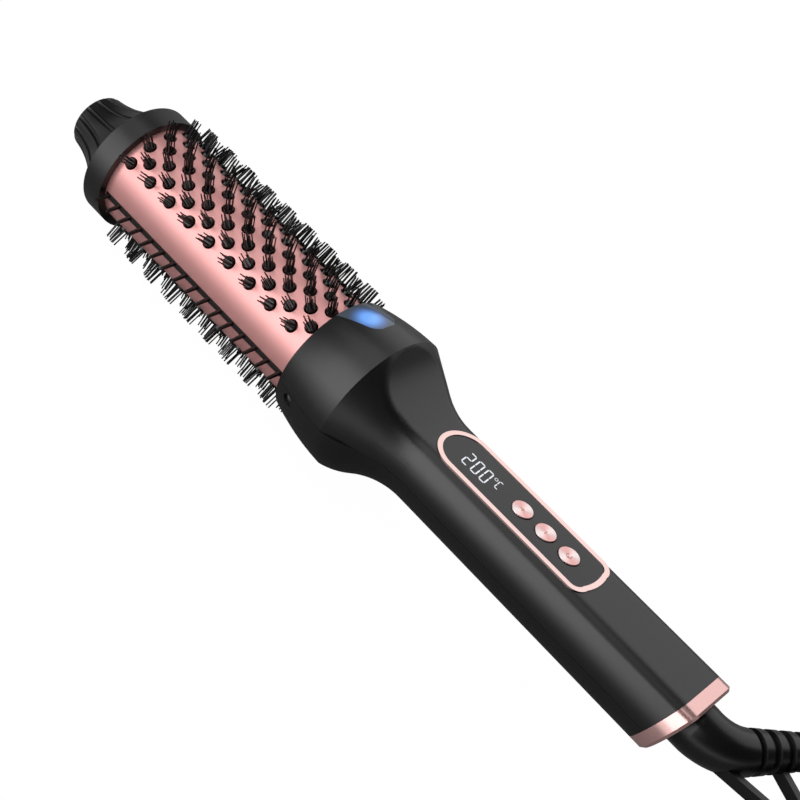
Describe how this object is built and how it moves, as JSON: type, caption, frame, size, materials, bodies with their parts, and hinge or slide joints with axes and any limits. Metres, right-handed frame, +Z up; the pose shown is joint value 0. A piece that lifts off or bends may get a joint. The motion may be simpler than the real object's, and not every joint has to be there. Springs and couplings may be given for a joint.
{
  "type": "heated styling brush",
  "caption": "Heated round styling brush with a perforated rose gold barrel, bristle tufts, comb strips, display handle and swivel lead.",
  "frame": {"origin": "on the surface it lies on, under the middle of the brush without its lead", "axes": "+X along the brush towards the cool tip, +Z up out of the display panel"},
  "size_m": [0.4448, 0.1198, 0.0542],
  "materials": {
    "black_shell": "satin soft touch",
    "window_lens": "smoked translucent",
    "screw_steel": "blackened",
    "lamp_blue": "lit",
    "rose_trim": "plated rose gold",
    "panel_grey": "smoked cover",
    "circuit_board": "solder mask",
    "display_black": "display glass",
    "switch_black": "moulded",
    "black_insert": "moulded",
    "rose_barrel": "satin anodised rose gold",
    "bristle_nylon": "nylon",
    "comb_nylon": "moulded",
    "heater_aluminium": "extruded",
    "heater_ceramic": "wrapped ceramic",
    "fuse_metal": "plain",
    "sensor_glass": "glass bead",
    "wire_sleeve": "silicone sleeve",
    "lead_rubber": "semi gloss",
    "contact_brass": "plain",
    "tie_strap": "woven strap"
  },
  "bodies": {
    "brush": {"upper_shell": "black_shell", "lower_shell": "black_shell", "light_window": "window_lens", "head_screws": "screw_steel", "indicator_lamp": "lamp_blue", "panel_frame": "rose_trim", "panel_cover": "panel_grey", "control_board": "circuit_board", "display_module": "display_black", "tact_switches": "switch_black", "power_board": "circuit_board", "end_ring": "rose_trim", "end_plug": "black_insert", "barrel_tube": "rose_barrel", "top_bristles": "bristle_nylon", "bottom_bristles": "bristle_nylon", "left_comb": "comb_nylon", "right_comb": "comb_nylon", "heat_spreader": "heater_aluminium", "heating_element": "heater_ceramic", "thermal_fuse": "fuse_metal", "temperature_sensor": "sensor_glass", "heater_wires": "wire_sleeve", "barrel_base": "black_insert", "tip_collar": "black_insert", "tip_knob": "black_insert"},
    "plus_button": {"plus_button": "rose_trim"},
    "minus_button": {"minus_button": "rose_trim"},
    "power_button": {"power_button": "rose_trim"},
    "lead": {"swivel_boot": "lead_rubber", "slip_rings": "contact_brass", "strain_relief": "lead_rubber", "hang_loop": "lead_rubber", "cord_stretch": "lead_rubber", "cord_coil": "lead_rubber", "coil_tie": "tie_strap", "plug_body": "lead_rubber", "plug_pins": "contact_brass"}
  },
  "joints": [
    {"name": "plus_press", "type": "slide", "parent": "brush", "child": "plus_button", "axis": [0, 0, -1], "range_m": [0, 0.0007], "stiffness_N_per_m": 400},
    {"name": "minus_press", "type": "slide", "parent": "brush", "child": "minus_button", "axis": [0, 0, -1], "range_m": [0, 0.0007], "stiffness_N_per_m": 400},
    {"name": "power_press", "type": "slide", "parent": "brush", "child": "power_button", "axis": [0, 0, -1], "range_m": [0, 0.0007], "stiffness_N_per_m": 400},
    {"name": "lead_swivel", "type": "hinge", "parent": "brush", "child": "lead", "pos_m": [-0.14239, 0, 0.0271], "axis": [1, 0, 0], "continuous": true}
  ]
}
